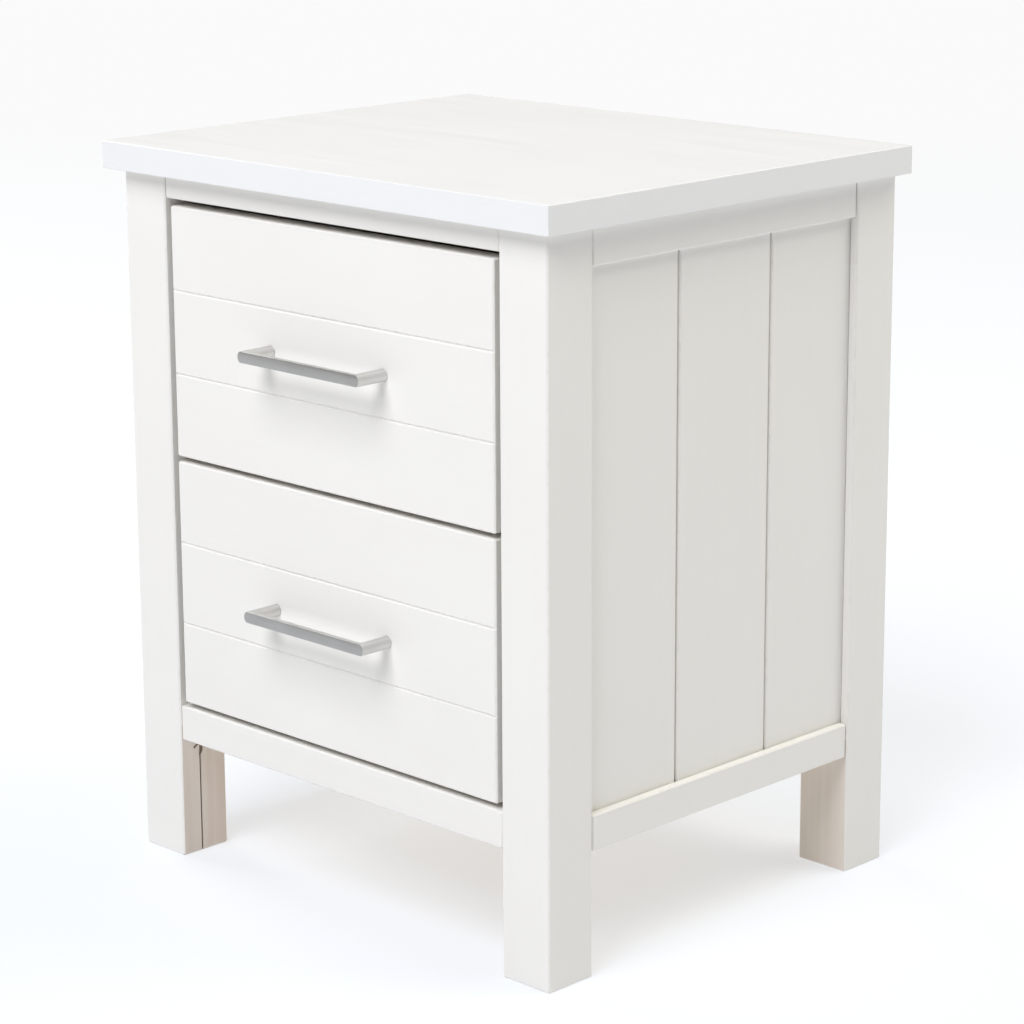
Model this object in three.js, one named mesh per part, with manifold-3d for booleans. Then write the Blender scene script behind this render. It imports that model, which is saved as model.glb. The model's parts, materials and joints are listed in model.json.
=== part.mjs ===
// A two-drawer nightstand: a framed and boarded timber case on four square legs, an overhanging top,
// and two drawers on ball-bearing slides.
// Millimetres. +Z is up, the drawers open towards -Y, and +X is to the right of someone facing them.
// The origin is on the floor, under the middle of the whole object, handles included.

import * as THREE from "three";
import { mergeVertices } from "three/addons/utils/BufferGeometryUtils.js";
import Module from "manifold-3d";

const wasm = await Module();
wasm.setup();

// ---- Driving dimensions ----

// The top, and the leg frame under it.
const TOP_WIDTH = 500;
const TOP_DEPTH = 416;
const TOP_THICKNESS = 22.5;
const HEIGHT = 600;
const FRAME_WIDTH = 474;
const FRAME_DEPTH = 400;
const FRONT_OVERHANG = 12.5;
const LEG_WIDTH = 49;
const LEG_DEPTH = 47.5;

// Each leg is glued up from two boards, and the glue line is open on its inner face.
const GLUE_LINE_FROM_FACE = 20;
const GLUE_LINE_WIDTH = 1.8;
const GLUE_LINE_DEPTH = 2.4;
const CHIP_DEPTH = 3;

// Rails between the legs, with stub tenons.
const RAIL_THICKNESS = 20;
const RAIL_RECESS = 0.8;
const FRONT_TOP_RAIL_LOW = 558;
const FRONT_BOTTOM_RAIL = [102.5, 132.5];
const SIDE_TOP_RAIL_LOW = 547;
const SIDE_BOTTOM_RAIL = [100, 129];
const TENON_LENGTH = 18;
const TENON_THICKNESS = 8;
const TENON_SHOULDER = 4;
const SIDE_RAIL_END_GAP = 0.8;

// Side boards, tongued and grooved, and the two thin panels.
const SIDE_BOARD_THICKNESS = 12;
const SIDE_BOARD_RECESS = 7.5;
const SIDE_BOARD_SEAMS = [102.5, 209];
const SEAM_WIDTH = 2;
const TONGUE_LENGTH = 4;
const TONGUE_THICKNESS = 4;
const REBATE = 8;
const PANEL_THICKNESS = 6;
const PANEL_GROOVE = 5;
const BACK_PANEL_RECESS = 8;
const BOTTOM_PANEL_LOW = 108;

// Drawers: an applied front on a finger-jointed box.
const DRAWER_FRONT_WIDTH = 364;
const DRAWER_FRONT_THICKNESS = 20;
const DRAWER_GAP = 4.4;
const TOP_DRAWER_GAP = 5.6;
const FRONT_BOARDS = 3;
const V_GROOVE_WIDTH = 2.8;
const V_GROOVE_DEPTH = 1.2;
const BOX_WIDTH = 350;
const BOX_DEPTH = 350;
const BOX_HEIGHT = 150;
const BOX_THICKNESS = 12;
const BOX_RISE = 18;
const BOX_FINGERS = 5;
const BOX_BACK_SETBACK = 10;
const BOX_BOTTOM_RISE = 10;
const BOX_BOTTOM_THICKNESS = 5;
const BOX_GROOVE = 5;

// Ball-bearing slides: three nested steel channels at each side of a drawer.
const SLIDE_SPACE = 12.7;
const SLIDE_SHEET = 1.2;
const SLIDE_RISE = 60;
const OUTER_CHANNEL_HEIGHT = 45;
const MIDDLE_CHANNEL_HEIGHT = 38;
const INNER_CHANNEL_HEIGHT = 30;
const CHANNEL_NEST = 1;
const BATTEN_HEIGHT = 50;
const CLEAT_SIZE = 20;

// Handles: a round bar bent square at both ends, with its front cut flat, and two screws each.
const HANDLE_SPACING = 128;
const HANDLE_REACH = 30;
const HANDLE_RADIUS = 5;
const HANDLE_FLAT_CUT = 2.8;
const HANDLE_SIDES = 32;
const SCREW_RADIUS = 2;
const SCREW_HOLE_RADIUS = 2.4;
const SCREW_HEAD_RADIUS = 4.2;
const SCREW_HEAD_HEIGHT = 2.4;
const SCREW_GRIP = 9;
const SCREW_SIDES = 16;

// Edge easing, and the gap kept between pieces that meet.
const TOP_EASE = 0.5;
const EASE = 1.2;
const FINE_EASE = 0.6;
const GAP = 0.3;

// ---- Positions that follow from them ----

const OVERALL_DEPTH = TOP_DEPTH + HANDLE_REACH - FRONT_OVERHANG - RAIL_RECESS;
const TOP_BACK = OVERALL_DEPTH / 2;
const TOP_FRONT = TOP_BACK - TOP_DEPTH;
const FRAME_FRONT = TOP_FRONT + FRONT_OVERHANG;
const FRAME_BACK = FRAME_FRONT + FRAME_DEPTH;
const FRAME_SIDE = FRAME_WIDTH / 2;
const FRAME_TOP = HEIGHT - TOP_THICKNESS - GAP;

const LEG_INNER = FRAME_SIDE - LEG_WIDTH;
const FRONT_LEG_BACK = FRAME_FRONT + LEG_DEPTH;
const BACK_LEG_FRONT = FRAME_BACK - LEG_DEPTH;
const BETWEEN_LEGS_Y = [FRONT_LEG_BACK, BACK_LEG_FRONT];

const RAIL_OUTER = FRAME_SIDE - RAIL_RECESS;
const RAIL_INNER = RAIL_OUTER - RAIL_THICKNESS;
const FRONT_RAIL_Y = [FRAME_FRONT + RAIL_RECESS, FRAME_FRONT + RAIL_RECESS + RAIL_THICKNESS];
const BACK_RAIL_Y = [FRAME_BACK - RAIL_RECESS - RAIL_THICKNESS, FRAME_BACK - RAIL_RECESS];
const TOP_RAIL_Z = [SIDE_TOP_RAIL_LOW, FRAME_TOP];
const FRONT_TOP_RAIL_Z = [FRONT_TOP_RAIL_LOW, FRAME_TOP];

const BOARD_OUTER = FRAME_SIDE - SIDE_BOARD_RECESS;
const BOARD_INNER = BOARD_OUTER - SIDE_BOARD_THICKNESS;
const BOARD_Z = [SIDE_BOTTOM_RAIL[1] - REBATE, SIDE_TOP_RAIL_LOW + REBATE];
const PANEL_BACK = FRAME_BACK - BACK_PANEL_RECESS;
const BACK_PANEL_Y = [PANEL_BACK - PANEL_THICKNESS, PANEL_BACK];
const BACK_PANEL_Z = [SIDE_BOTTOM_RAIL[1] - PANEL_GROOVE, SIDE_TOP_RAIL_LOW + PANEL_GROOVE];
const BOTTOM_PANEL_Z = [BOTTOM_PANEL_LOW, BOTTOM_PANEL_LOW + PANEL_THICKNESS];

const OPENING_HEIGHT = FRONT_TOP_RAIL_LOW - FRONT_BOTTOM_RAIL[1];
const DRAWER_FRONT_HEIGHT = (OPENING_HEIGHT - TOP_DRAWER_GAP - 2 * DRAWER_GAP) / 2;
const LOWER_DRAWER_LOW = FRONT_BOTTOM_RAIL[1] + DRAWER_GAP;
const UPPER_DRAWER_LOW = LOWER_DRAWER_LOW + DRAWER_FRONT_HEIGHT + DRAWER_GAP;
const DRAWER_FACE = FRAME_FRONT + RAIL_RECESS;
const DRAWER_FRONT_BACK = DRAWER_FACE + DRAWER_FRONT_THICKNESS;
const HANDLE_RISE = DRAWER_FRONT_HEIGHT / 2;

const BOX_FRONT = DRAWER_FRONT_BACK + GAP;
const BOX_BACK = BOX_FRONT + BOX_DEPTH;
const BOX_SIDE = BOX_WIDTH / 2;
const BOX_INSIDE = BOX_SIDE - BOX_THICKNESS;
const BOX_Z = [BOX_RISE, BOX_RISE + BOX_HEIGHT];
const BOX_FRONT_Y = [BOX_FRONT, BOX_FRONT + BOX_THICKNESS];
const BOX_BACK_Y = [BOX_BACK - BOX_BACK_SETBACK - BOX_THICKNESS, BOX_BACK - BOX_BACK_SETBACK];
const BOX_BOTTOM_LOW = BOX_RISE + BOX_BOTTOM_RISE;
const BOX_BOTTOM_Z = [BOX_BOTTOM_LOW, BOX_BOTTOM_LOW + BOX_BOTTOM_THICKNESS];

// ---- Materials ----

function finish(color, roughness, metalness) {
  return new THREE.MeshStandardMaterial({ color, roughness, metalness });
}

const topPaint = finish(0xf4f4f6, 0.38, 0);
const bodyPaint = finish(0xf1eee9, 0.42, 0);
const boxWood = finish(0xdcc7a3, 0.6, 0);
const plywood = finish(0xd9cbb0, 0.65, 0);
const slideSteel = finish(0xb4b7ba, 0.35, 1);
const handleMetal = finish(0xa9a7a3, 0.32, 1);
const screwSteel = finish(0x9a9c9e, 0.3, 1);

// ---- Solids ----

// A closed geometry as a solid that can be cut and joined.
function solid(geometry) {
  geometry.deleteAttribute("normal");
  geometry.deleteAttribute("uv");
  const merged = mergeVertices(geometry, 1e-3);
  const mesh = new wasm.Mesh({
    numProp: 3,
    vertProperties: new Float32Array(merged.attributes.position.array),
    triVerts: new Uint32Array(merged.index.array),
  });
  return new wasm.Manifold(mesh);
}

// The named mesh of a solid.
function piece(name, shape, material) {
  const mesh = shape.getMesh();
  const geometry = new THREE.BufferGeometry();
  geometry.setAttribute("position", new THREE.BufferAttribute(mesh.vertProperties, 3));
  geometry.setIndex(new THREE.BufferAttribute(mesh.triVerts, 1));
  geometry.computeVertexNormals();
  const made = new THREE.Mesh(geometry, material);
  made.name = name;
  return made;
}

function cut(shape, cutters) {
  return cutters.reduce((left, cutter) => left.subtract(cutter), shape);
}

function join(shape, added) {
  return added.reduce((whole, more) => whole.add(more), shape);
}

// Limits along X on the side that sign names, from two distances to the middle.
function onSide(sign, near, far) {
  return sign > 0 ? [near, far] : [-far, -near];
}

// A pair of limits with both ends moved outwards, or inwards where grow is negative.
function widen(limits, grow) {
  return [limits[0] - grow, limits[1] + grow];
}

// A rectangular solid between two limits along each axis.
function block(x, y, z) {
  const geometry = new THREE.BoxGeometry(x[1] - x[0], y[1] - y[0], z[1] - z[0]);
  geometry.translate((x[0] + x[1]) / 2, (y[0] + y[1]) / 2, (z[0] + z[1]) / 2);
  return solid(geometry);
}

// An outline of [x, y] points, extruded up between two heights, with its end edges chamfered.
function extruded(points, z, ease = 0) {
  const outline = new THREE.Shape(points.map(([x, y]) => new THREE.Vector2(x, y)));
  const geometry = new THREE.ExtrudeGeometry(outline, {
    depth: z[1] - z[0] - 2 * ease,
    bevelEnabled: ease > 0,
    bevelThickness: ease,
    bevelSize: ease,
    bevelOffset: -ease,
    bevelSegments: 1,
  });
  return geometry.translate(0, 0, z[0] + ease);
}

// A board: a rectangular solid with all twelve edges eased.
function board(x, y, z, ease = EASE) {
  const inX = widen(x, -ease);
  const inY = widen(y, -ease);
  const outline = [
    [inX[0], y[0]],
    [inX[1], y[0]],
    [x[1], inY[0]],
    [x[1], inY[1]],
    [inX[1], y[1]],
    [inX[0], y[1]],
    [x[0], inY[1]],
    [x[0], inY[0]],
  ];
  return solid(extruded(outline, z, ease));
}

// A profile of [x, z] points, extruded along Y.
function alongY(points, y) {
  const geometry = extruded(points, [-y[1], -y[0]]);
  return solid(geometry.rotateX(Math.PI / 2));
}

// A profile of [y, z] points, extruded along X.
function alongX(points, x) {
  const geometry = extruded(points, x);
  return solid(geometry.rotateX(Math.PI / 2).rotateZ(Math.PI / 2));
}

// Round bars along Y and along X.
function rodAlongY(radius, x, y, z, sides) {
  const geometry = new THREE.CylinderGeometry(radius, radius, y[1] - y[0], sides);
  return solid(geometry.translate(x, (y[0] + y[1]) / 2, z));
}

function rodAlongX(radius, x, y, z, sides) {
  const geometry = new THREE.CylinderGeometry(radius, radius, x[1] - x[0], sides);
  return solid(geometry.rotateZ(Math.PI / 2).translate((x[0] + x[1]) / 2, y, z));
}

// ---- Case ----

const TENON_INSET = (RAIL_THICKNESS - TENON_THICKNESS) / 2;

// Heights of the tenons on the rails that hold boards or a panel: they keep clear of both.
const TOP_TENON_Z = [BOARD_Z[1] + TENON_SHOULDER / 2, FRAME_TOP - TENON_SHOULDER];
const BOTTOM_TENON_Z = [SIDE_BOTTOM_RAIL[0] + TENON_SHOULDER, BOARD_Z[0] - TENON_SHOULDER / 2];

// Tenons of the rails across the front and back, as limits along Y and Z.
const FRONT_TENON_Y = widen(FRONT_RAIL_Y, -TENON_INSET);
const BACK_TENON_Y = widen(BACK_RAIL_Y, -TENON_INSET);
const CROSS_TENONS = {
  frontTop: { y: FRONT_TENON_Y, z: widen(FRONT_TOP_RAIL_Z, -TENON_SHOULDER) },
  frontBottom: { y: FRONT_TENON_Y, z: widen(FRONT_BOTTOM_RAIL, -TENON_SHOULDER) },
  backTop: { y: BACK_TENON_Y, z: TOP_TENON_Z },
  backBottom: { y: BACK_TENON_Y, z: BOTTOM_TENON_Z },
};

function sideTenonX(sign) {
  return onSide(sign, RAIL_INNER + TENON_INSET, RAIL_OUTER - TENON_INSET);
}

// The open glue line on a leg's inner face.
function glueLine(sign, isFront) {
  const middle = isFront ? FRAME_FRONT + GLUE_LINE_FROM_FACE : FRAME_BACK - GLUE_LINE_FROM_FACE;
  const y = [middle - GLUE_LINE_WIDTH / 2, middle + GLUE_LINE_WIDTH / 2];
  return block(onSide(sign, LEG_INNER - 1, LEG_INNER + GLUE_LINE_DEPTH), y, [-1, HEIGHT]);
}

// A chip out of the front left leg, where its glue line passes under the front rail. A splinter
// has gone from the front of the line, and a longer one from the back of it.
function chip() {
  const outline = [
    [-7, -9.5],
    [-1.5, -6],
    [-1.5, 1],
    [2.4, 1],
    [3.4, -10],
    [2.8, -15],
    [0.4, -18.5],
    [-1.4, -17],
    [0.8, -13],
    [0.2, -9.5],
    [-2.6, -9],
    [-6, -11.5],
  ];
  const y = FRAME_FRONT + GLUE_LINE_FROM_FACE;
  const points = outline.map((point) => [point[0] + y, point[1] + FRONT_BOTTOM_RAIL[0]]);
  return alongX(points, [-LEG_INNER - CHIP_DEPTH, -LEG_INNER + 1]);
}

function leg(name, sign, isFront) {
  const x = onSide(sign, LEG_INNER, FRAME_SIDE);
  const y = isFront ? [FRAME_FRONT, FRONT_LEG_BACK] : [BACK_LEG_FRONT, FRAME_BACK];
  const innerY = isFront ? FRONT_LEG_BACK : BACK_LEG_FRONT;
  const reach = (depth) => (isFront ? [innerY - depth, innerY + 1] : [innerY - 1, innerY + depth]);
  const crossX = onSide(sign, LEG_INNER - 1, LEG_INNER + TENON_LENGTH + GAP);
  const cutters = ["Top", "Bottom"].map((level) => {
    const tenon = CROSS_TENONS[(isFront ? "front" : "back") + level];
    return block(crossX, widen(tenon.y, GAP), widen(tenon.z, GAP));
  });
  for (const tenonZ of [TOP_TENON_Z, BOTTOM_TENON_Z]) {
    const mortiseX = widen(sideTenonX(sign), GAP);
    cutters.push(block(mortiseX, reach(TENON_LENGTH + GAP), widen(tenonZ, GAP)));
  }
  const boardX = onSide(sign, BOARD_INNER - GAP, BOARD_OUTER + GAP);
  cutters.push(block(boardX, reach(REBATE), BOARD_Z));
  if (!isFront) {
    const grooveX = onSide(sign, LEG_INNER - 1, LEG_INNER + PANEL_GROOVE);
    cutters.push(block(grooveX, widen(BACK_PANEL_Y, GAP), BACK_PANEL_Z));
  }
  cutters.push(glueLine(sign, isFront));
  if (isFront && sign < 0) cutters.push(chip());
  return piece(name, cut(board(x, y, [0, FRAME_TOP]), cutters), bodyPaint);
}

// A rail across the front or back, with grooves cut by the panels that it holds.
function crossRail(name, y, z, tenon, grooves) {
  const legs = [-LEG_INNER, LEG_INNER];
  const tenons = block(widen(legs, TENON_LENGTH), tenon.y, tenon.z);
  const rail = join(board(widen(legs, -GAP), y, z), [tenons]);
  const cutters = grooves.map((groove) => block(widen(legs, GAP), groove.y, groove.z));
  return piece(name, cut(rail, cutters), bodyPaint);
}

function sideRail(name, sign, isTop) {
  const z = isTop ? TOP_RAIL_Z : SIDE_BOTTOM_RAIL;
  const cutY = widen(BETWEEN_LEGS_Y, GAP);
  const tenonZ = isTop ? TOP_TENON_Z : BOTTOM_TENON_Z;
  const tenons = block(sideTenonX(sign), widen(BETWEEN_LEGS_Y, TENON_LENGTH), tenonZ);
  const rebateZ = isTop ? [z[0] - 1, BOARD_Z[1]] : [BOARD_Z[0], z[1] + 1];
  const cutters = [block(onSide(sign, RAIL_INNER - 1, BOARD_OUTER + GAP), cutY, rebateZ)];
  if (!isTop) {
    const grooveX = onSide(sign, RAIL_INNER - 1, RAIL_INNER + PANEL_GROOVE);
    cutters.push(block(grooveX, cutY, widen(BOTTOM_PANEL_Z, GAP)));
  }
  const bodyY = widen(BETWEEN_LEGS_Y, -SIDE_RAIL_END_GAP);
  const body = board(onSide(sign, RAIL_INNER, RAIL_OUTER), bodyY, z);
  return piece(name, cut(join(body, [tenons]), cutters), bodyPaint);
}

// Three upright boards fill each side, front to back. Each has a tongue on its back edge that
// enters a groove in the next one, and the outer two also enter grooves in the legs.
function sideBoards(side, sign) {
  const x = onSide(sign, BOARD_INNER, BOARD_OUTER);
  const middle = (BOARD_INNER + BOARD_OUTER) / 2;
  const tongueX = onSide(sign, middle - TONGUE_THICKNESS / 2, middle + TONGUE_THICKNESS / 2);
  const z = widen(BOARD_Z, -GAP);
  const seams = SIDE_BOARD_SEAMS.map((fromLeg) => FRONT_LEG_BACK + fromLeg);
  const starts = [FRONT_LEG_BACK - REBATE + GAP, ...seams.map((y) => y + SEAM_WIDTH / 2)];
  const ends = [...seams.map((y) => y - SEAM_WIDTH / 2), BACK_LEG_FRONT + REBATE - GAP];
  return ["front", "middle", "back"].map((place, i) => {
    let shape = board(x, [starts[i], ends[i]], z);
    if (i < seams.length) {
      const tongueEnd = ends[i] + SEAM_WIDTH + TONGUE_LENGTH;
      shape = join(shape, [block(tongueX, [ends[i] - 1, tongueEnd], z)]);
    }
    if (i > 0) {
      const grooveY = [starts[i] - 1, starts[i] + TONGUE_LENGTH + GAP];
      shape = cut(shape, [block(widen(tongueX, GAP), grooveY, widen(z, 1))]);
    }
    return piece(`${side}_side_board_${place}`, shape, bodyPaint);
  });
}

function bottomPanel() {
  const x = RAIL_INNER + PANEL_GROOVE - GAP;
  const y = [
    FRONT_RAIL_Y[1] - PANEL_GROOVE + GAP,
    BACK_RAIL_Y[0] + PANEL_GROOVE - GAP,
  ];
  const corners = [];
  for (const sign of [-1, 1]) {
    const cornerX = onSide(sign, LEG_INNER - GAP, FRAME_SIDE);
    corners.push(block(cornerX, [FRAME_FRONT, FRONT_LEG_BACK + GAP], widen(BOTTOM_PANEL_Z, 1)));
    corners.push(block(cornerX, [BACK_LEG_FRONT - GAP, FRAME_BACK], widen(BOTTOM_PANEL_Z, 1)));
  }
  return piece("bottom_panel", cut(board([-x, x], y, BOTTOM_PANEL_Z, FINE_EASE), corners), plywood);
}

function backPanel() {
  const x = LEG_INNER + PANEL_GROOVE - GAP;
  const panel = board([-x, x], BACK_PANEL_Y, widen(BACK_PANEL_Z, -GAP), FINE_EASE);
  return piece("back_panel", panel, bodyPaint);
}

// Battens bring the slides' seat level with the legs' inner faces.
function slideBatten(name, sign, drawerLow) {
  const z = drawerLow + BOX_RISE + SLIDE_RISE;
  const limits = [z - BATTEN_HEIGHT / 2, z + BATTEN_HEIGHT / 2];
  const x = onSide(sign, LEG_INNER, BOARD_INNER - GAP);
  return piece(name, board(x, widen(BETWEEN_LEGS_Y, -GAP), limits), plywood);
}

// A cleat inside each side rail takes the screws that hold the top down.
function topCleat(name, sign) {
  const x = onSide(sign, RAIL_INNER - GAP - CLEAT_SIZE, RAIL_INNER - GAP);
  const z = [FRAME_TOP - CLEAT_SIZE, FRAME_TOP];
  return piece(name, board(x, widen(BETWEEN_LEGS_Y, -GAP), z), plywood);
}

function topPanel() {
  const x = [-TOP_WIDTH / 2, TOP_WIDTH / 2];
  const z = [HEIGHT - TOP_THICKNESS, HEIGHT];
  return piece("top_panel", board(x, [TOP_FRONT, TOP_BACK], z, TOP_EASE), topPaint);
}

const SIDES = { left: -1, right: 1 };

function caseGroup() {
  const group = new THREE.Group();
  const frontBottomGroove = {
    y: [FRONT_RAIL_Y[1] - PANEL_GROOVE, FRONT_RAIL_Y[1] + 1],
    z: widen(BOTTOM_PANEL_Z, GAP),
  };
  const backBottomGroove = {
    y: [BACK_RAIL_Y[0] - 1, BACK_RAIL_Y[0] + PANEL_GROOVE],
    z: widen(BOTTOM_PANEL_Z, GAP),
  };
  const panelGroove = { y: widen(BACK_PANEL_Y, GAP), z: BACK_PANEL_Z };
  const { frontTop, frontBottom, backTop, backBottom } = CROSS_TENONS;
  group.add(
    topPanel(),
    crossRail("front_top_rail", FRONT_RAIL_Y, FRONT_TOP_RAIL_Z, frontTop, []),
    crossRail("front_bottom_rail", FRONT_RAIL_Y, FRONT_BOTTOM_RAIL, frontBottom, [frontBottomGroove]),
    crossRail("back_top_rail", BACK_RAIL_Y, TOP_RAIL_Z, backTop, [panelGroove]),
    crossRail("back_bottom_rail", BACK_RAIL_Y, SIDE_BOTTOM_RAIL, backBottom, [
      panelGroove,
      backBottomGroove,
    ]),
    backPanel(),
    bottomPanel(),
  );
  for (const [side, sign] of Object.entries(SIDES)) {
    group.add(
      leg(`front_${side}_leg`, sign, true),
      leg(`back_${side}_leg`, sign, false),
      sideRail(`${side}_top_rail`, sign, true),
      sideRail(`${side}_bottom_rail`, sign, false),
      ...sideBoards(side, sign),
      slideBatten(`upper_${side}_slide_batten`, sign, UPPER_DRAWER_LOW),
      slideBatten(`lower_${side}_slide_batten`, sign, LOWER_DRAWER_LOW),
      topCleat(`${side}_top_cleat`, sign),
    );
  }
  return group;
}

// ---- Slides ----

// A steel channel along Y with its web at one distance from the middle and its flanges reaching
// to another. Heights are measured from the drawer's lower edge.
function channel(name, sign, web, flangeEnd, height) {
  const middle = BOX_RISE + SLIDE_RISE;
  const sheet = flangeEnd < web ? -SLIDE_SHEET : SLIDE_SHEET;
  const half = height / 2;
  const inner = half - SLIDE_SHEET;
  const outline = [
    [web, -half],
    [web, half],
    [flangeEnd, half],
    [flangeEnd, inner],
    [web + sheet, inner],
    [web + sheet, -inner],
    [flangeEnd, -inner],
    [flangeEnd, -half],
  ];
  const points = outline.map(([x, z]) => [sign * x, z + middle]);
  return piece(name, alongY(points, [BOX_FRONT, BOX_BACK]), slideSteel);
}

// The case, middle and drawer members on one side, nested in that order.
function slide(drawer, side, sign) {
  const caseWeb = LEG_INNER - GAP;
  const middleWeb = caseWeb - SLIDE_SHEET - CHANNEL_NEST;
  const drawerWeb = LEG_INNER - SLIDE_SPACE;
  const flangeEnd = drawerWeb + SLIDE_SHEET + CHANNEL_NEST;
  const drawerFlangeEnd = middleWeb - SLIDE_SHEET - CHANNEL_NEST;
  const name = `${drawer}_${side}_slide`;
  return [
    channel(`${name}_case_member`, sign, caseWeb, flangeEnd, OUTER_CHANNEL_HEIGHT),
    channel(`${name}_middle_member`, sign, middleWeb, flangeEnd, MIDDLE_CHANNEL_HEIGHT),
    channel(`${name}_drawer_member`, sign, drawerWeb, drawerFlangeEnd, INNER_CHANNEL_HEIGHT),
  ];
}

// ---- Drawers, measured up from the lower edge of their fronts ----

function screwHole(x, y) {
  return rodAlongY(SCREW_HOLE_RADIUS, x, y, HANDLE_RISE, SCREW_SIDES);
}

const HANDLE_POSTS = [-HANDLE_SPACING / 2, HANDLE_SPACING / 2];

function drawerFront(name) {
  const x = [-DRAWER_FRONT_WIDTH / 2, DRAWER_FRONT_WIDTH / 2];
  const y = [DRAWER_FACE, DRAWER_FRONT_BACK];
  const cutters = HANDLE_POSTS.map((post) => screwHole(post, widen(y, 1)));
  for (let i = 1; i < FRONT_BOARDS; i++) {
    const z = (DRAWER_FRONT_HEIGHT * i) / FRONT_BOARDS;
    const groove = [
      [DRAWER_FACE - V_GROOVE_DEPTH, z - V_GROOVE_WIDTH],
      [DRAWER_FACE + V_GROOVE_DEPTH, z],
      [DRAWER_FACE - V_GROOVE_DEPTH, z + V_GROOVE_WIDTH],
    ];
    cutters.push(alongX(groove, widen(x, 1)));
  }
  return piece(name, cut(board(x, y, [0, DRAWER_FRONT_HEIGHT]), cutters), bodyPaint);
}

// The heights of the box's corner fingers that belong to the sides, or else to the front.
function fingers(ofSides) {
  const height = BOX_HEIGHT / BOX_FINGERS;
  const own = [...Array(BOX_FINGERS).keys()].filter((i) => (i % 2 === 0) === ofSides);
  return own.map((i) => [BOX_Z[0] + i * height, BOX_Z[0] + (i + 1) * height]);
}

function boxInnerFront(name) {
  const cutters = HANDLE_POSTS.map((post) => screwHole(post, widen(BOX_FRONT_Y, 1)));
  for (const z of fingers(true)) {
    for (const sign of [-1, 1]) {
      const x = onSide(sign, BOX_INSIDE - GAP, BOX_SIDE + 1);
      cutters.push(block(x, widen(BOX_FRONT_Y, 1), widen(z, GAP / 2)));
    }
  }
  const grooveY = [BOX_FRONT_Y[1] - BOX_GROOVE, BOX_FRONT_Y[1] + 1];
  cutters.push(block(widen([-BOX_SIDE, BOX_SIDE], 1), grooveY, widen(BOX_BOTTOM_Z, GAP)));
  const shape = board([-BOX_SIDE, BOX_SIDE], BOX_FRONT_Y, BOX_Z, FINE_EASE);
  return piece(name, cut(shape, cutters), boxWood);
}

function boxSide(name, sign) {
  const y = [BOX_FRONT, BOX_BACK];
  const cutters = fingers(false).map((z) => {
    const x = onSide(sign, BOX_INSIDE - 1, BOX_SIDE + 1);
    return block(x, [BOX_FRONT - 1, BOX_FRONT_Y[1] + GAP], widen(z, GAP / 2));
  });
  const housingX = onSide(sign, BOX_INSIDE - 1, BOX_INSIDE + BOX_GROOVE);
  const grooveY = [BOX_FRONT_Y[1] - BOX_GROOVE, BOX_BACK + 1];
  cutters.push(block(housingX, grooveY, widen(BOX_BOTTOM_Z, GAP)));
  cutters.push(block(housingX, widen(BOX_BACK_Y, GAP), [BOX_BOTTOM_Z[1], BOX_Z[1] + 1]));
  const shape = board(onSide(sign, BOX_INSIDE, BOX_SIDE), y, BOX_Z, FINE_EASE);
  return piece(name, cut(shape, cutters), boxWood);
}

function boxBack(name) {
  const x = BOX_INSIDE + BOX_GROOVE - GAP;
  const z = [BOX_BOTTOM_Z[1] + GAP, BOX_Z[1] - FINE_EASE];
  return piece(name, board([-x, x], BOX_BACK_Y, z, FINE_EASE), boxWood);
}

function boxBottom(name) {
  const x = BOX_INSIDE + BOX_GROOVE - GAP;
  const y = [BOX_FRONT_Y[1] - BOX_GROOVE + GAP, BOX_BACK_Y[1]];
  return piece(name, board([-x, x], y, BOX_BOTTOM_Z, FINE_EASE), plywood);
}

// The bar and its two posts meet in mitred elbows: each elbow is what the bar and the post,
// both run on past the corner, have in common.
function handle(name) {
  const axisY = DRAWER_FACE - HANDLE_REACH + HANDLE_RADIUS - HANDLE_FLAT_CUT;
  const base = DRAWER_FACE - GAP;
  const bar = rodAlongX(HANDLE_RADIUS, HANDLE_POSTS, axisY, HANDLE_RISE, HANDLE_SIDES);
  const longBar = rodAlongX(
    HANDLE_RADIUS,
    widen(HANDLE_POSTS, HANDLE_RADIUS),
    axisY,
    HANDLE_RISE,
    HANDLE_SIDES,
  );
  const added = [];
  const cutters = [];
  for (const x of HANDLE_POSTS) {
    const longPost = [axisY - HANDLE_RADIUS, base];
    added.push(rodAlongY(HANDLE_RADIUS, x, [axisY, base], HANDLE_RISE, HANDLE_SIDES));
    added.push(rodAlongY(HANDLE_RADIUS, x, longPost, HANDLE_RISE, HANDLE_SIDES).intersect(longBar));
    cutters.push(screwHole(x, [base - SCREW_GRIP - 1, base + 1]));
  }
  const frontFlat = DRAWER_FACE - HANDLE_REACH;
  const width = widen(HANDLE_POSTS, 2 * HANDLE_RADIUS);
  const height = widen([HANDLE_RISE, HANDLE_RISE], 2 * HANDLE_RADIUS);
  cutters.push(block(width, [frontFlat - HANDLE_RADIUS, frontFlat], height));
  return piece(name, cut(join(bar, added), cutters), handleMetal);
}

// A pan-head screw from inside the box, through both fronts and into a post.
function handleScrew(name, x) {
  const seat = BOX_FRONT_Y[1] + GAP;
  const tip = DRAWER_FACE - GAP - SCREW_GRIP;
  const outline = [
    [0, tip],
    [SCREW_RADIUS, tip],
    [SCREW_RADIUS, seat],
    [SCREW_HEAD_RADIUS, seat],
    [SCREW_HEAD_RADIUS, seat + SCREW_HEAD_HEIGHT / 2],
    [SCREW_HEAD_RADIUS / 2, seat + SCREW_HEAD_HEIGHT],
    [0, seat + SCREW_HEAD_HEIGHT],
  ];
  const profile = outline.map(([radius, y]) => new THREE.Vector2(radius, y));
  const geometry = new THREE.LatheGeometry(profile, SCREW_SIDES);
  return piece(name, solid(geometry.translate(x, 0, HANDLE_RISE)), screwSteel);
}

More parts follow.
